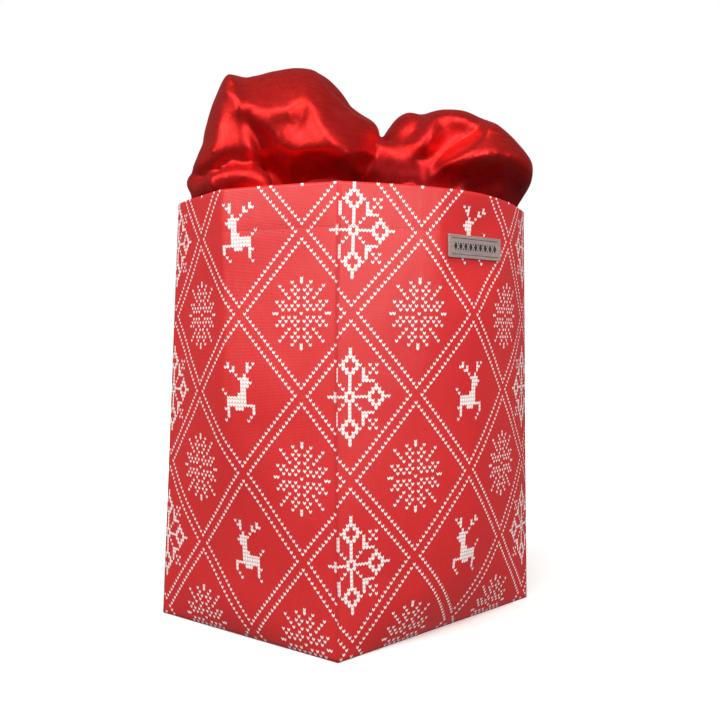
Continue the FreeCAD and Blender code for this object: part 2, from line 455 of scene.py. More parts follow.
def shell_point(face, t, z, inward=0.0):
    """A point of the bag's skin in metres, with its dents, set in by inward mm."""
    step = 0.004
    x0, y0 = wall_point(face, max(0.0, t - step), z)
    x1, y1 = wall_point(face, min(1.0, t + step), z)
    length = math.hypot(x1 - x0, y1 - y0)
    nx, ny = (y1 - y0) / length, -(x1 - x0) / length
    x, y = wall_point(face, t, z)
    out = soft_dents(face, t, z) - inward
    return Vector((x + nx * out, y + ny * out, z - mouth_dip(face, t, z))) * MM


# ---------------------------------------------------------------- the knit print

LATTICE = 21        # stitches from one motif's centre to the next, along a row or a column
DEER = (
    ".#.#......#..",
    "..##....#.##.",
    "...#....##...",
    "....#..#.....",
    "...####......",
    "..####.......",
    "...###.......",
    "....##......#",
    "....###....#.",
    "....#######..",
    "....#######..",
    ".##########..",
    ".#...###..##.",
    ".#........#..",
    "..#.......#..",
    "...#.......#.",
)
ROUND_FLAKE = {     # the white columns of each row, counted from the centre
    9: (0,), 8: (0, 3), 7: (2, 7), 6: (1, 3, 6), 5: (2, 5), 4: (1, 4),
    3: (2, 6, 8), 2: (1, 3, 5, 7), 1: (2, 4, 6), 0: (0, 8, 9),
}


def round_flake(col, row):
    return abs(col) in ROUND_FLAKE.get(abs(row), ())


def big_flake(col, row):
    """A snowflake with four diamonds, the same in all its eight parts."""
    col, row = abs(col), abs(row)
    if max(col, row) > 12 or (col, row) == (0, 0):
        return False
    if max(col, row) == 1:
        return True
    low, high = min(col, row), max(col, row)
    if low == 0 and (2 <= high <= 5 or high in (11, 12)):
        return True
    if abs(high - 8) + low in (2, 3) and low <= 3 and not (low == 3 and high > 8):
        return True
    if low == high and high in (2, 3, 4, 5, 6, 7, 8):
        return True
    return (low == 4 and high in (5, 6, 7)) or (low, high) == (6, 8)


def deer(col, row, mirrored):
    if mirrored:
        col = -col
    line, place = 8 - row, col + 6
    return 0 <= line < len(DEER) and 0 <= place < 13 and DEER[line][place] == "#"


def stitched(col, row):
    """Whether the cell at col, row of the print is white. Cell 0, 0 is a snowflake's centre."""
    near_col = math.floor(col / LATTICE + 0.5)
    near_row = math.floor(row / LATTICE + 0.5)
    for n in range(near_col - 1, near_col + 2):
        for m in range(near_row - 1, near_row + 2):
            if (n + m) % 2:
                continue
            dx, dy = col - n * LATTICE, row - m * LATTICE
            if abs(dx) + abs(dy) == 19:
                return True
            if abs(dx) + abs(dy) > 18:
                continue
            if n % 2:
                return round_flake(dx, dy)
            if n % 4 == 0:
                return big_flake(dx, dy)
            return deer(dx, dy, m % 4 == 2)
    return False


FIRST_ROW = 68.75       # height of the print's row 0, mm
LEFT_MARGIN = 26.0      # the left gusset's column 0 would lie this far past the front left seam, mm
RIGHT_COLUMN = 101.5    # the print's column at the first seam of the right gusset
BACK_COLUMN = 188.0     # and of the back


def seam_offset(z):
    """Cells from the front left seam to the first column of snowflakes."""
    return float(np.interp(z, (0, 69, 130, 191, 250, 314, 350), (5.2, 4.5, 4.2, 3.9, 4.1, 4.4, 4.4)))


def col_at(face, distance, total, z):
    """The print's column coordinate at a distance from the wall's first seam."""
    if face == FRONT:
        return distance / CELL_W - seam_offset(z)
    if face == LEFT:
        return -(total - distance + LEFT_MARGIN) / CELL_W
    if face == RIGHT:
        return distance / CELL_W + RIGHT_COLUMN
    return distance / CELL_W + BACK_COLUMN


def distance_at(face, col, total, z):
    """The other way round: how far from the wall's first seam a column is."""
    if face == FRONT:
        return (col + seam_offset(z)) * CELL_W
    if face == LEFT:
        return total - (-col * CELL_W - LEFT_MARGIN)
    if face == RIGHT:
        return (col - RIGHT_COLUMN) * CELL_W
    return (col - BACK_COLUMN) * CELL_W


def mesh_object(name, verts, faces, material=None, smooth_shade=True):
    mesh = bpy.data.meshes.new(name)
    mesh.from_pydata(verts, [], faces)
    mesh.update()
    if material:
        mesh.materials.append(material)
    if smooth_shade:
        mesh.polygons.foreach_set("use_smooth", [True] * len(mesh.polygons))
    thing = bpy.data.objects.new(name, mesh)
    scene.collection.objects.link(thing)
    return thing


def wall_columns(face):
    """The print's columns that a wall needs, over its whole height."""
    starts = [col_at(face, 0.0, wall_lines(face, z)[-1], z) for z in (0, 100, 191, 350)]
    lengths = [(z, wall_lines(face, z)[-1]) for z in (0, 60, 130, 200, 260, 350)]
    ends = [col_at(face, total, total, z) for z, total in lengths]
    return list(range(math.floor(min(starts) + 0.5) - 1, math.ceil(max(ends) + 0.5) + 2))


def make_wall(face, name, print_material, lining):
    """One face to each stitch of the print, with how white it is stored on the face."""
    rows = list(range(-23, 97))
    levels = [max(0.0, FIRST_ROW + (r - 0.5) * CELL_H) for r in rows] + [HEIGHT]
    levels[0] = 0.0
    cols = wall_columns(face)
    verts, uvs, seams = [], [], []
    for z in levels:
        far = wall_lines(face, z)
        total = far[-1]
        for c in cols:
            s = min(total, max(0.0, distance_at(face, c - 0.5, total, z)))
            t = share_at(far, s)
            verts.append(shell_point(face, t, z))
            uvs.append((col_at(face, s, total, z) + 0.5, (z - FIRST_ROW) / CELL_H + 0.5))
            # painted shade for the seam creases: points within 2.6 mm of a seam, below the hem, get a darker
            # colour
            near = min(s, total - s)
            seams.append(max(0.0, 1 - near / 2.6) if z < HEM else 0.0)
    width = len(cols)
    faces, marks, above, below = [], [], [], []
    for i, row in enumerate(rows):
        for j in range(width - 1):
            a, b = i * width + j, i * width + j + 1
            c, d = b + width, a + width
            ring = [a]
            for k in (b, c, d):
                if (verts[k] - verts[ring[-1]]).length > 2e-5:
                    ring.append(k)
            if len(ring) > 2 and (verts[ring[-1]] - verts[ring[0]]).length <= 2e-5:
                ring.pop()
            if len(ring) < 3:
                continue
            faces.append(ring)
            marks.append(1.0 if stitched(cols[j], row) else 0.0)
            above.append(1.0 if stitched(cols[j], row + 1) else 0.0)
            below.append(1.0 if stitched(cols[j], row - 1) else 0.0)
    wall = mesh_object(name, verts, faces, print_material)
    mesh = wall.data
    mesh.materials.append(lining)
    layer = mesh.uv_layers.new(name="cells")
    for loop in mesh.loops:
        layer.data[loop.index].uv = uvs[loop.vertex_index]
    for label, values in (("stitch", marks), ("above", above), ("below", below)):
        layer = mesh.attributes.new(label, "FLOAT", "FACE")
        layer.data.foreach_set("value", values)
    seam = mesh.attributes.new("seam", "FLOAT", "POINT")
    seam.data.foreach_set("value", seams)
    tidy = bmesh.new()
    tidy.from_mesh(mesh)
    bmesh.ops.remove_doubles(tidy, verts=tidy.verts, dist=1e-5)
    bmesh.ops.delete(tidy, geom=[v for v in tidy.verts if not v.link_faces], context="VERTS")
    tidy.to_mesh(mesh)
    tidy.free()
    skin = wall.modifiers.new("thickness", "SOLIDIFY")
    skin.thickness = 0.001
    skin.offset = -1
    skin.material_offset = 1
    skin.use_even_offset = False
    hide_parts(WALL_NODES[face])
    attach(wall, "bag")
    return wall


def make_facing(lining):
    """The turned hem inside the mouth."""
    verts, faces = [], []
    levels = (HEM, 320, 324, 330, 336, 341, 345, 348, 349.6)
    steps = 44
    around = [(face, i / steps) for face in range(4) for i in range(steps)]
    for z in levels:
        for face, t in around:
            if t == 0:
                before = shell_point((face + 3) % 4, 1.0, z, 1.3)
                after = shell_point(face, 0.0, z, 1.3)
                verts.append((before + after) / 2)
            else:
                verts.append(shell_point(face, t, z, 1.3))
    count = len(around)
    for i in range(len(levels) - 1):
        for j in range(count):
            k = (j + 1) % count
            faces.append((i * count + j, i * count + k, (i + 1) * count + k, (i + 1) * count + j))
    facing = mesh_object("mouth_hem", verts, faces, lining)
    skin = facing.modifiers.new("thickness", "SOLIDIFY")
    skin.thickness = 0.0008
    skin.offset = -1
    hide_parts("mouth_facing")
    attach(facing, "bag")
    return facing


def make_hem_stitches(thread):
    """Short thread stitches along the hem line, a little proud of the fabric."""
    verts, faces = [], []
    for face in range(4):
        z = HEM + 0.4
        far = wall_lines(face, z)
        total = far[-1]
        count = int(total // 3.4)
        for i in range(count):
            s0 = (i + 0.5) * total / count - 1.15
            ring = []
            for on, high, out in ((0.0, 0.0, 0.0), (0.5, 0.28, 0.3), (1.8, 0.28, 0.3), (2.3, 0.0, 0.0)):
                t = share_at(far, s0 + on)
                for up in (-1, 1):
                    ring.append(shell_point(face, t, z + up * (0.12 + high * 0.5), -out - 0.05))
            base = len(verts)
            verts += ring
            for k in (0, 2, 4):
                faces.append((base + k, base + k + 2, base + k + 3, base + k + 1))
    stitches = mesh_object("hem_stitches", verts, faces, thread)
    skin = stitches.modifiers.new("thickness", "SOLIDIFY")
    skin.thickness = 0.0002
    skin.offset = -1
    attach(stitches, "bag")
    return stitches


# ---------------------------------------------------------------- the name plate


def plate_frame():
    """Turns mm along the plate, up it and out from the fabric into a place in metres."""
    x0, y0 = wall_point(FRONT, FLAT_START, PLATE_Z)
    x1, y1 = wall_point(FRONT, FLAT_END, PLATE_Z)
    length = math.hypot(x1 - x0, y1 - y0)
    along = Vector(((x1 - x0) / length, (y1 - y0) / length, 0))
    out = Vector((along.y, -along.x, 0))
    middle = Vector(((x0 + x1) / 2, (y0 + y1) / 2, PLATE_Z)) + along * PLATE_SHIFT

    def at(a, up, forward):
        return (middle + along * a + Vector((0, 0, up)) + out * forward) * MM

    return at


def plate_outline(rounding=0.9):
    """A rectangle with rounded corners, anticlockwise."""
    outline = []
    for sx, sy, start in ((1, 1, 0), (-1, 1, 90), (-1, -1, 180), (1, -1, 270)):
        for i in range(5):
            angle = math.radians(start + i * 22.5)
            outline.append((sx * (PLATE_HALF_LENGTH - rounding) + rounding * math.cos(angle),
                            sy * (PLATE_HALF_HEIGHT - rounding) + rounding * math.sin(angle)))
    return outline


def add_prism(bm, at, points, back, front):
    """A block with this outline. Gives the corners of its front."""
    lower = [bm.verts.new(at(a, b, back)) for a, b in points]
    upper = [bm.verts.new(at(a, b, front)) for a, b in points]
    bm.faces.new(list(reversed(lower)))
    bm.faces.new(upper)
    for i in range(len(points)):
        j = (i + 1) % len(points)
        bm.faces.new((lower[i], lower[j], upper[j], upper[i]))
    return upper


def diamond(a, b, half_width, half_height):
    return [(a + half_width, b), (a, b + half_height), (a - half_width, b), (a, b - half_height)]


def plate_ornament():
    """Outlines to carve: a row of diamonds with small ones between, and a line above and below."""
    spacing = 6.3
    shapes = []
    for i in range(-4, 5):
        a = i * spacing
        shapes.append(diamond(a, 0, 2.1, 3.4))
        if i < 4:
            shapes += [diamond(a + spacing / 2, b, 0.8, 0.8) for b in (-2.2, 2.2)]
    for b in (-6.3, 6.3):
        shapes.append([(30, b - 0.22), (30, b + 0.22), (-30, b + 0.22), (-30, b - 0.22)])
    return shapes


def plate_mesh(name, bm, metal, patina):
    """Finishes a mesh and gives it an object, with the metal first and the patina second."""
    bmesh.ops.recalc_face_normals(bm, faces=bm.faces)
    mesh = bpy.data.meshes.new(name)
    bm.to_mesh(mesh)
    bm.free()
    mesh.materials.append(metal)
    mesh.materials.append(patina)
    thing = bpy.data.objects.new(name, mesh)
    scene.collection.objects.link(thing)
    return thing


def make_plate(metal, patina):
    """A bevelled plate with a generic carved border and a row of diamonds."""
    at = plate_frame()
    bm = bmesh.new()
    upper = add_prism(bm, at, plate_outline(), PLATE_BACK, PLATE_FRONT)
    rim = [e for e in bm.edges if all(v in upper for v in e.verts)]
    bmesh.ops.bevel(bm, geom=rim, offset=0.00035, segments=3, affect="EDGES", profile=0.5)
    plate = plate_mesh("name_plate_metal", bm, metal, patina)

    cuts = bmesh.new()
    for shape in plate_ornament():
        add_prism(cuts, at, shape, PLATE_FRONT - 0.35, PLATE_FRONT + 0.5)
    cutter = plate_mesh("cutter", cuts, metal, patina)
    cutter.data.polygons.foreach_set("material_index", [1] * len(cutter.data.polygons))
    carve = plate.modifiers.new("carve", "BOOLEAN")
    carve.object = cutter
    carve.operation = "DIFFERENCE"
    carve.solver = "EXACT"
    carve.material_mode = "INDEX"
    bake_modifiers(plate)
    bpy.data.objects.remove(cutter)
    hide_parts("name_plate")
    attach(plate, "bag")
    return plate


def bake_modifiers(thing):
    """Puts the evaluated mesh in place of the mesh with its modifiers."""
    bpy.context.view_layer.update()
    graph = bpy.context.evaluated_depsgraph_get()
    mesh = bpy.data.meshes.new_from_object(thing.evaluated_get(graph))
    old = thing.data
    thing.modifiers.clear()
    thing.data = mesh
    bpy.data.meshes.remove(old)


# ---------------------------------------------------------------- the satin

# The satin is drawn as seen from the front left, in mm: these are that view's directions, and EYE
# is where it is seen from.
RIGHTWARD = np.array((0.6652, -0.7467, 0.0))
UPWARD = np.array((0.0, 0.0, 1.0))
TOWARDS = np.array((-0.7467, -0.6652, 0.0))
EYE = np.array((-666.5, -606.0, 236.7))


def ease(value, start, end):
    """The same as smooth, for arrays."""
    share = np.clip((value - start) / (end - start), 0.0, 1.0)
    return share * share * (3 - 2 * share)


def line_distance(u, v, points):
    """Distance from each u, v to a polyline, and the side it is on (left of its direction is plus)."""
    best = np.full(u.shape, 1e9)
    side = np.zeros(u.shape)
    for (x0, y0), (x1, y1) in zip(points, points[1:]):
        dx, dy = x1 - x0, y1 - y0
        share = np.clip(((u - x0) * dx + (v - y0) * dy) / (dx * dx + dy * dy), 0, 1)
        ex, ey = u - (x0 + share * dx), v - (y0 + share * dy)
        distance = np.hypot(ex, ey)
        nearer = distance < best
        best = np.where(nearer, distance, best)
        side = np.where(nearer, np.sign(dx * ey - dy * ex), side)
    return best, side


def curve_through(points, count=8):
    """A smooth polyline through a few points (Catmull-Rom)."""
    pts = [points[0], *points, points[-1]]
    found = []
    for p0, p1, p2, p3 in zip(pts, pts[1:], pts[2:], pts[3:]):
        for i in range(count):
            t = i / count
            found.append(tuple(
                0.5 * (2 * b + (c - a) * t + (2 * a - 5 * b + 4 * c - d) * t * t
                       + (3 * b - a - 3 * c + d) * t ** 3)
                for a, b, c, d in zip(p0, p1, p2, p3)))
    found.append(points[-1])
    return found


def folds(u, v, strokes):
    """Adds up ridges and valleys. A stroke is (height, width, points[, width on its right])."""
    total = np.zeros(u.shape)
    for height, width, points, *more in strokes:
        distance, side = line_distance(u, v, curve_through(points))
        other = more[0] if more else width
        spread = np.where(side >= 0, width, other)
        total += height * np.exp(-(distance / spread) ** 1.6)
    return total


def outline_radius(angle, points):
    """Distance to a closed outline at each angle, from points given about its centre."""
    known = sorted((math.atan2(y, x), math.hypot(x, y)) for x, y in points)
    angles = [a for a, _ in known]
    radii = [r for _, r in known]
    angles = [angles[-1] - 2 * math.pi, *angles, angles[0] + 2 * math.pi]
    radii = [radii[-1], *radii, radii[0]]
    fine = np.linspace(-math.pi, math.pi, 721)
    base = np.interp(fine, angles, radii)
    kernel = np.exp(-np.linspace(-2, 2, 13) ** 2)
    kernel /= kernel.sum()
    ringed = np.concatenate((base[-7:-1], base, base[1:7]))
    soft = np.convolve(ringed, kernel, mode="valid")
    return np.interp(angle, fine, soft)


def as_seen(centre, u, v, d):
    """Where a point stands in the upright plane through centre, as seen from the front left."""
    off = np.array(centre) - EYE
    x, y, far = off @ RIGHTWARD, off @ UPWARD, -(off @ TOWARDS)
    grow = far / (far - d)
    return (u + x) * grow - x, (v + y) * grow - y


def puff(centre, outline, depth, strokes_front, strokes_back, forward=0.0, middle=(0.0, 0.0),
         rings=110, around=200):
    """A closed lump. Its outline and its folds are drawn in the upright plane through centre, as
    seen from the front left, and the lump stands forward mm nearer than that."""
    rho = np.linspace(0, math.pi, rings + 1)[1:-1]
    alpha = np.linspace(-math.pi, math.pi, around, endpoint=False)
    rho, alpha = np.meshgrid(rho, alpha, indexing="ij")
    radius = outline_radius(alpha, [(x - middle[0], y - middle[1]) for x, y in outline])
    wide = np.sin(rho) ** 0.9
    u = middle[0] + radius * wide * np.cos(alpha)
    v = middle[1] + radius * wide * np.sin(alpha)
    d = depth * np.cos(rho) * (0.42 + 0.58 * ease(v, -34.0, 14.0)) + forward
    off = np.array(centre) - EYE
    x, y, far = off @ RIGHTWARD, off @ UPWARD, -(off @ TOWARDS)
    shrink = (far - forward) / far
    u, v = (u + x) * shrink - x, (v + y) * shrink - y
    front = ease(np.cos(rho), 0.0, 0.25)
    back = ease(-np.cos(rho), 0.0, 0.25)
    move = folds(*as_seen(centre, u, v, d), strokes_front) * front + folds(-u, v, strokes_back) * back
    d = d + move * np.sign(np.cos(rho))
    place = (np.array(centre)[None, None, :] + u[..., None] * RIGHTWARD + v[..., None] * UPWARD
             + d[..., None] * TOWARDS)
    verts = [tuple(p) for p in place.reshape(-1, 3)]
    poles = []
    for ring in (0, -1):
        verts.append(tuple(place[ring].mean(axis=0)))
        poles.append(len(verts) - 1)
    faces = []
    rows = rings - 1
    for i in range(rows - 1):
        for j in range(around):
            k = (j + 1) % around
            faces.append((i * around + j, i * around + k, (i + 1) * around + k, (i + 1) * around + j))
    for j in range(around):
        k = (j + 1) % around
        faces.append((poles[0], k, j))
        faces.append((poles[1], (rows - 1) * around + j, (rows - 1) * around + k))
    return verts, faces


def add_lump(bm, verts, faces):
    made = [bm.verts.new(Vector(p) * MM) for p in verts]
    for face in faces:
        bm.faces.new([made[i] for i in face])


def roll(bm, points, radii):
    """A closed sausage along a smooth line. radii may differ from point to point."""
    line = [Vector(p) for p in curve_through(points, 6)]
    sizes = [r[0] for r in curve_through([(r, r) for r in radii], 6)]
    rings = []
    for i, (p, r) in enumerate(zip(line, sizes)):
        way = (line[min(i + 1, len(line) - 1)] - line[max(i - 1, 0)]).normalized()
        side = way.cross(Vector((0, 0, 1))).normalized()
        up = side.cross(way)
        rings.append([bm.verts.new((p + (side * math.cos(a) * r + up * math.sin(a) * r)) * MM)
                      for a in (2 * math.pi * k / 20 for k in range(20))])
    for low, high in zip(rings, rings[1:]):
        for k in range(20):
            m = (k + 1) % 20
            bm.faces.new((low[k], low[m], high[m], high[k]))
    bm.faces.new(list(reversed(rings[0])))
    bm.faces.new(rings[-1])


def ball(bm, centre, radii, turn, lobes):
    """A low lump of cloth with soft lobes, for the far side of the mouth."""
    made = bmesh.ops.create_uvsphere(bm, u_segments=48, v_segments=28, radius=1.0)["verts"]
    for vert in made:
        angle = math.atan2(vert.co.y, vert.co.x)
        grow = 1 + lobes * math.sin(5 * angle + 2.5 * vert.co.z + turn) * (1 - vert.co.z ** 2)
        x, y, z = (vert.co.x * radii[0] * grow, vert.co.y * radii[1] * grow, vert.co.z * radii[2])
        vert.co = Vector((centre[0] + x * math.cos(turn) - y * math.sin(turn),
                          centre[1] + x * math.sin(turn) + y * math.cos(turn), centre[2] + z)) * MM


def view_point(centre, u, v, d):
    """A point u mm to the right of centre, v up and d nearer, as seen from the front left."""
    p = np.array(centre) + u * RIGHTWARD + v * UPWARD + d * TOWARDS
    return tuple(float(x) for x in p)


LEFT_CENTRE = (-45.0, 33.0, 378.0)
LEFT_OUTLINE = (
    (-75, -14), (-81, -2), (-78, 6), (-72, 22), (-68, 41), (-63, 57), (-54, 73), (-49, 80), (-44, 80),
    (-35, 79), (-20, 83), (-2, 87), (8, 88), (21, 87), (33, 82), (44, 72), (51, 63), (56, 55), (66, 48),
    (76, 42), (80, 36), (81, 23), (80, 10), (76, -6), (66, -24), (40, -42), (0, -48), (-40, -42), (-62, -28),
)
LEFT_FOLDS = (
    (8.0, 13.0, ((-48, 84), (-52, 67), (-55, 54), (-58, 39), (-61, 22), (-68, 10), (-79, 4)), 9.0),
    (3.0, 5.0, ((-47, 80), (-44, 66), (-40, 53), (-35, 34), (-29, 16)), 11.0),
    (-14.0, 20.0, ((-41, 72), (-36, 60), (-32, 48), (-27, 33), (-21, 17), (-17, 8)), 8.0),
    (10.0, 20.0, ((-44, 76), (-38, 64), (-26, 55), (-14, 51), (-1, 51), (9, 56), (18, 59), (25, 51), (28, 42),
                  (36, 29), (46, 19), (54, 10)), 12.0),
    (10.0, 18.0, ((-38, 54), (-24, 43), (-11, 34), (-3, 22), (4, 14), (12, 16), (20, 18), (32, 16),
                  (42, 9)), 7.0),
    (-3.0, 10.0, ((-4, 42), (8, 38), (20, 34), (28, 26))),
    (-9.0, 14.0, ((-16, 2), (0, -3), (16, -1), (34, -5), (52, -8))),
    (-6.0, 12.0, ((28, 88), (36, 74), (46, 64), (55, 55), (62, 50)), 1.4),
    (-9.0, 5.0, ((56, 2), (63, 8), (72, 7), (80, 2))),
    (5.0, 3.0, ((50, 9), (58, 14), (66, 17), (73, 14), (80, 8))),
)
LEFT_BACK = (
    (13.0, 11.0, ((-44, 80), (-34, 54), (-38, 24), (-30, -6)), 16.0),
    (-14.0, 12.0, ((-22, 84), (-12, 52), (-16, 22), (-6, -10)), 7.0),
    (12.0, 16.0, ((0, 82), (18, 58), (34, 30), (46, 4)), 11.0),
    (-12.0, 9.0, ((24, 84), (40, 54), (58, 24), (64, -8))),
    (9.0, 9.0, ((-68, 44), (-54, 22), (-60, 0))),
)
RIGHT_CENTRE = (62.0, -56.0, 372.0)
RIGHT_OUTLINE = (
    (-56, 30), (-55, 37), (-49, 47), (-43, 55), (-36, 60), (-30, 61), (-23, 59), (-13, 60), (4, 62), (21, 60),
    (33, 55), (46, 46), (60, 37), (71, 25), (77, 16), (78, 8), (77, -1), (72, -11), (62, -26), (40, -38),
    (0, -42), (-36, -36), (-54, -18), (-60, 4),
)
RIGHT_FOLDS = (
    (10.0, 12.0, ((-18, 31), (-12, 39), (-9, 48), (-6, 55), (3, 58), (16, 57), (26, 53), (37, 47)), 7.0),
    (-15.0, 13.0, ((28, 47), (14, 39), (3, 31), (-8, 21))),
    (13.0, 8.0, ((-1, 13), (14, 23), (26, 30), (35, 38), (42, 46)), 18.0),
    (-9.0, 4.0, ((1, 8), (15, 5), (28, 9), (44, 13))),
    (8.0, 11.0, ((18, 12), (32, 19), (47, 23), (62, 21), (73, 13), (77, 0)), 7.0),
    (-13.0, 13.0, ((34, 1), (48, 4), (60, 2), (66, -8))),
    (-6.0, 5.0, ((-18, 62), (-24, 50), (-31, 41))),
)
BAND_OUTLINE = (
    (-62, 36), (-50, 36), (-35, 34), (-18, 29), (-8, 22), (1, 13), (12, 4), (22, -6), (30, -18),
    (20, -36), (-30, -42), (-66, -34), (-76, 0),
)
BAND_FOLDS = (
    (-2.5, 8.0, ((-50, 14), (-14, 10), (8, 2))),
)
TONGUE_OUTLINE = (
    (-65, -9), (-60, 0), (-53, 3), (-36, 4), (-25, 4), (-16, -1), (-12, -9), (-13, -18), (-30, -28),
    (-50, -28), (-67, -20),
)
TONGUE_FOLDS = (
    (2.0, 7.0, ((-62, -4), (-46, -4), (-26, -6), (-14, -14))),
)
RIGHT_BACK = (
    (12.0, 11.0, ((-54, 32), (-22, 46), (6, 42), (32, 26)), 8.0),
    (-13.0, 10.0, ((-54, 14), (-18, 24), (14, 22), (46, 8))),
    (11.0, 10.0, ((-34, -2), (0, 8), (36, -2))),
    (-8.0, 6.0, ((-10, 60), (4, 40), (2, 18))),
)


def mouth_ring(share_in, count=220):
    """Points round the mouth, set in by share_in mm."""
    ring = []
    for i in range(count):
        place = 4 * i / count
        face = int(place)
        t = place - face
        ring.append(shell_point(face, t, 348.0, share_in) / MM)
    return ring


def keep_one_open_cloth(thing):
    """Keeps the largest connected surface, and opens it underneath, where the cloth's edge hangs."""
    bm = bmesh.new()
    bm.from_mesh(thing.data)
    under = [f for f in bm.faces if f.normal.z < -0.75 and f.calc_center_median().z < 0.3262]
    bmesh.ops.delete(bm, geom=under, context="FACES")
    left = set(bm.verts)
    largest = []
    while left:
        group, front = [], [left.pop()]
        while front:
            vert = front.pop()
            group.append(vert)
            for edge in vert.link_edges:
                other = edge.other_vert(vert)
                if other in left:
                    left.remove(other)
                    front.append(other)
        if len(group) > len(largest):
            largest, group = group, largest
        if group:
            bmesh.ops.delete(bm, geom=group, context="VERTS")
    bm.to_mesh(thing.data)
    bm.free()


def simulate_cloth(thing, frames, growth, cap):
    """Lets the cloth find its own small wrinkles: it has a little more length than its shape needs,
    and buckles. Nothing below the mouth moves, and no point moves more than cap."""
    before = np.empty(len(thing.data.vertices) * 3)
    thing.data.vertices.foreach_get("co", before)
    pins = thing.vertex_groups.new(name="pins")
    for vert in thing.data.vertices:
        hold = 1.0 if vert.co.z < 0.350 else 0.35
        pins.add([vert.index], hold, "REPLACE")
    cloth = thing.modifiers.new("cloth", "CLOTH")
    rules = cloth.settings
    rules.quality = 4
    rules.mass = 0.12
    rules.air_damping = 2.0
    rules.tension_stiffness = 12.0
    rules.compression_stiffness = 12.0
    rules.shear_stiffness = 6.0
    rules.bending_stiffness = 12.0
    rules.vertex_group_mass = "pins"
    rules.pin_stiffness = 0.25
    rules.shrink_min = -growth
    rules.effector_weights.gravity = 0.0
    cloth.collision_settings.use_collision = False
    cloth.point_cache.frame_start = 1
    cloth.point_cache.frame_end = frames
    for step in range(1, frames + 1):
        scene.frame_set(step)
    bake_modifiers(thing)
    scene.frame_set(1)
    after = np.empty(len(thing.data.vertices) * 3)
    thing.data.vertices.foreach_get("co", after)
    move = (after - before).reshape(-1, 3)
    far = np.linalg.norm(move, axis=1)
    print("cloth moved", len(far), "points by", round(float(far.mean()) * 1000, 2), "mm, at most",
          round(float(far.max()) * 1000, 2))
    move *= np.minimum(1.0, cap / np.maximum(far, 1e-9))[:, None]
    thing.data.vertices.foreach_set("co", before + move.reshape(-1))
    thing.data.update()


def add_puffs(bm):
    """What shows from the front left: two puffs, a flat band under the right one and a tongue
    under the left one."""
    add_lump(bm, *puff(LEFT_CENTRE, LEFT_OUTLINE, 68.0, LEFT_FOLDS, LEFT_BACK))
    add_lump(bm, *puff(RIGHT_CENTRE, RIGHT_OUTLINE, 60.0, RIGHT_FOLDS, RIGHT_BACK))
    add_lump(bm, *puff(RIGHT_CENTRE, BAND_OUTLINE, 22.0, BAND_FOLDS, (), forward=34.0,
                       middle=(-22, -4), rings=60, around=120))
    add_lump(bm, *puff(LEFT_CENTRE, TONGUE_OUTLINE, 20.0, TONGUE_FOLDS, (), forward=52.0,
                       middle=(-40, -12), rings=60, around=120))


def add_rolls(bm):
    """Rolls at the left end of the mouth and along the left gusset, and lumps at the far side."""
    c = LEFT_CENTRE
    roll(bm, [view_point(c, -80, -8, 0), view_point(c, -76, -14, 16), view_point(c, -66, -22, 38)], [7, 8, 7])
    ball(bm, (58, 50, 352), (50, 40, 31), 0.7, 0.10)
    ball(bm, (-66, -34, 343), (42, 34, 19), 0.9, 0.08)
    ball(bm, (8, 66, 350), (40, 26, 20), 0.2, 0.10)
    spill = []
    for t, z in ((0.03, 346), (0.09, 351), (0.17, 356), (0.26, 360), (0.36, 360)):
        p = shell_point(LEFT, t, 348.0, 11.5) / MM
        spill.append((p.x, p.y, z))
    roll(bm, spill, [4, 6, 8, 9, 8])


def add_filling(bm):
    """Closes the rest of the mouth, and hangs into it as a pleated skirt. It is lower at the front left."""
    ring = mouth_ring(4.2)
    levels = ((0, 322.0), (0, 334.0), (0, 343.0), (1.5, 347.5), (8, 352.0), (22, 357.0), (46, 362.0),
              (74, 366.0))
    rows = []
    for inset, z in levels:
        row = []
        hang = 1 - smooth(z, 322, 346)
        for i, p in enumerate(ring):
            angle = 2 * math.pi * i / len(ring)
            ripple = 2.2 * math.sin(9 * angle + 0.6 * math.sin(3 * angle)) + 1.4 * math.sin(17 * angle + 1.0)
            pleat = 0.5 + 0.5 * math.sin(26 * angle + 1.3 * math.sin(5 * angle))
            reach = math.hypot(p.x, p.y)
            keep = max(0.02, (reach - inset - max(0.0, -ripple) - 10.0 * hang * pleat - 0.8) / reach)
            sink = 9.0 * smooth(p.dot(Vector(TOWARDS)), -10, 60) * smooth(z, 334, 352)
            lift = ripple * 1.3 * smooth(z, 343, 362) - sink
            row.append(bm.verts.new(Vector((p.x * keep, p.y * keep, z + lift)) * MM))
        rows.append(row)
    for low, high in zip(rows, rows[1:]):
        for k in range(len(low)):
            m = (k + 1) % len(low)
            bm.faces.new((low[k], low[m], high[m], high[k]))
    bm.faces.new(list(reversed(rows[0])))
    bm.faces.new(rows[-1])


def smooth_over(thing, name, times):
    """A Smooth modifier, left for bake_modifiers to apply."""
    modifier = thing.modifiers.new(name, "SMOOTH")
    modifier.factor = 0.5
    modifier.iterations = times


def store_shade(mesh):
    """Stores a painted shade: it darkens the cloth's colour near the mouth, where shade falls. It is drawn
    for the
    view from the front left: the tongue stays light, and the right puff is darker than the left one."""
    painted_shade = []
    for vert in mesh.vertices:
        x, y, z = (c / MM for c in vert.co)
        u = float((np.array((x, y, z)) - LEFT_CENTRE) @ RIGHTWARD)
        rise = 20 * smooth(u, 20, 60) - 8 * smooth(u, 118, 160)
        low = 1 - smooth(z, 352 + rise, 378 + rise)
        lit = (1 - smooth(u, -18, 4)) * (1 - smooth(z, 362, 378))
        # painted shade: darker colour low near the mouth and on the right puff, less where the tongue is lit
        painted_shade.append((0.42 + 0.33 * smooth(u, 30, 70)) * low * (1 - 0.9 * lit))
    shade = mesh.attributes.new("painted_shade", "FLOAT", "POINT")
    shade.data.foreach_set("value", painted_shade)


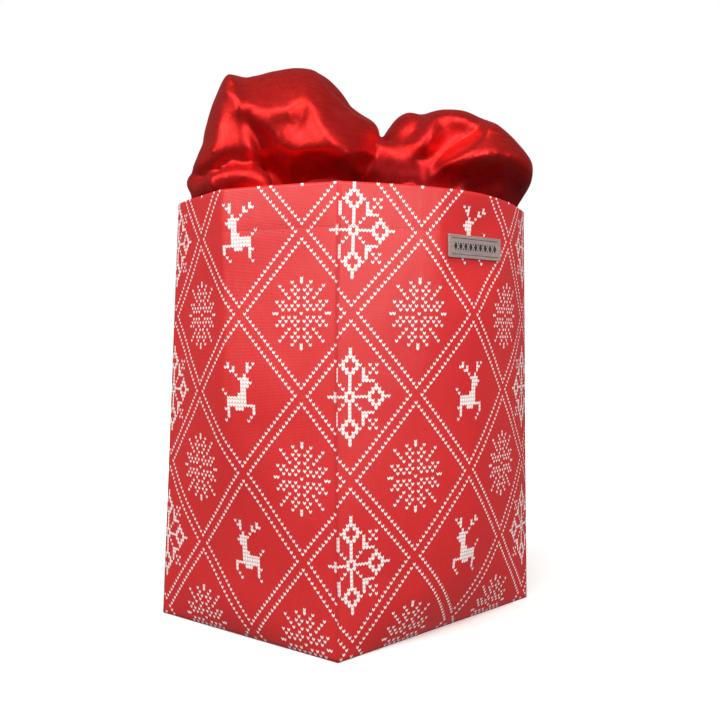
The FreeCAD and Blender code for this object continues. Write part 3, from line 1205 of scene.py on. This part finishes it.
def make_satin(material):
    """Joins the lumps into one surface, opens it underneath and lets it settle as cloth."""
    bm = bmesh.new()
    add_puffs(bm)
    add_rolls(bm)
    add_filling(bm)
    mesh = bpy.data.meshes.new("satin")
    bm.to_mesh(mesh)
    bm.free()
    satin = bpy.data.objects.new("satin_drape", mesh)
    scene.collection.objects.link(satin)
    remesh = satin.modifiers.new("union", "REMESH")
    remesh.mode = "VOXEL"
    remesh.voxel_size = 0.0028
    smooth_over(satin, "soften", 4)
    bake_modifiers(satin)
    keep_one_open_cloth(satin)
    simulate_cloth(satin, 12, 0.008, 0.004)
    smooth_over(satin, "calm", 5)
    finer = satin.modifiers.new("finer", "SUBSURF")
    finer.levels = finer.render_levels = 1
    bake_modifiers(satin)
    mesh = satin.data
    mesh.materials.clear()
    mesh.materials.append(material)
    store_shade(mesh)
    mesh.polygons.foreach_set("use_smooth", [True] * len(mesh.polygons))
    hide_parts("satin_cloth")
    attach(satin, "satin")
    return satin


# ---------------------------------------------------------------- put it together

scene.view_settings.view_transform = "Standard"
add_world()
add_camera()
add_area("key", (-0.75, -0.60, 1.55), (0, 0, 0.36), (0.7, 0.6), 15, (1.0, 0.955, 0.91))
add_area("left_box", (-1.20, 0.30, 0.95), (0, 0, 0.3), (0.8, 0.8), 13, (1.0, 0.97, 0.94))
add_area("right_box", (-0.14, -1.30, 0.80), (0, 0, 0.28), (0.6, 0.7), 12, (1.0, 0.97, 0.94))

knit = printed_fabric("knit_print_fabric")
lining = plain_weave("lining_cloth", (0.30, 0.012, 0.018), (0.42, 0.022, 0.028), 1.6, 0.00015)
tape = plain_weave("seam_tape_cloth", (0.26, 0.010, 0.014), (0.38, 0.018, 0.022), 0.9, 0.00012)
thread = plain_weave("thread_red", (0.34, 0.012, 0.016), (0.50, 0.022, 0.028), 0.5, 0.00008, 0.6)
steel = brushed_metal("plate_pewter", (0.39, 0.30, 0.285), (0.60, 0.485, 0.46), 0.36)
patina = brushed_metal("plate_patina", (0.035, 0.028, 0.025), (0.07, 0.058, 0.05), 0.6)
backing_steel = brushed_metal("backing_steel", (0.30, 0.29, 0.28), (0.50, 0.49, 0.48), 0.4)
red_canvas = plain_weave("base_canvas", (0.42, 0.008, 0.011), (0.58, 0.016, 0.018), 2.2, 0.00018, 0.55)
card = board_material()
satin_red = satin_material()

for face, name in enumerate(("front_wall", "right_gusset_wall", "back_wall", "left_gusset_wall")):
    make_wall(face, name, knit, lining)
make_facing(lining)
make_hem_stitches(thread)
make_plate(steel, patina)

SLOT_FINISH = {"base_panel": red_canvas, "base_board": card, "plate_backing": backing_steel,
               "base_seam_binding": tape}
for name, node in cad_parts.items():
    finish = SLOT_FINISH.get(name, tape if name.startswith("seam_binding") else None)
    if finish:
        for slot in node.material_slots:
            slot.material = finish

make_satin(satin_red)

FLOOR_CORNERS = [(-6, -6, 0), (6, -6, 0), (6, 6, 0), (-6, 6, 0)]
floor = mesh_object("floor", FLOOR_CORNERS, [(0, 1, 2, 3)], floor_material(), False)
floor.location.z = -0.0005
floor.visible_glossy = False
floor.visible_diffuse = False
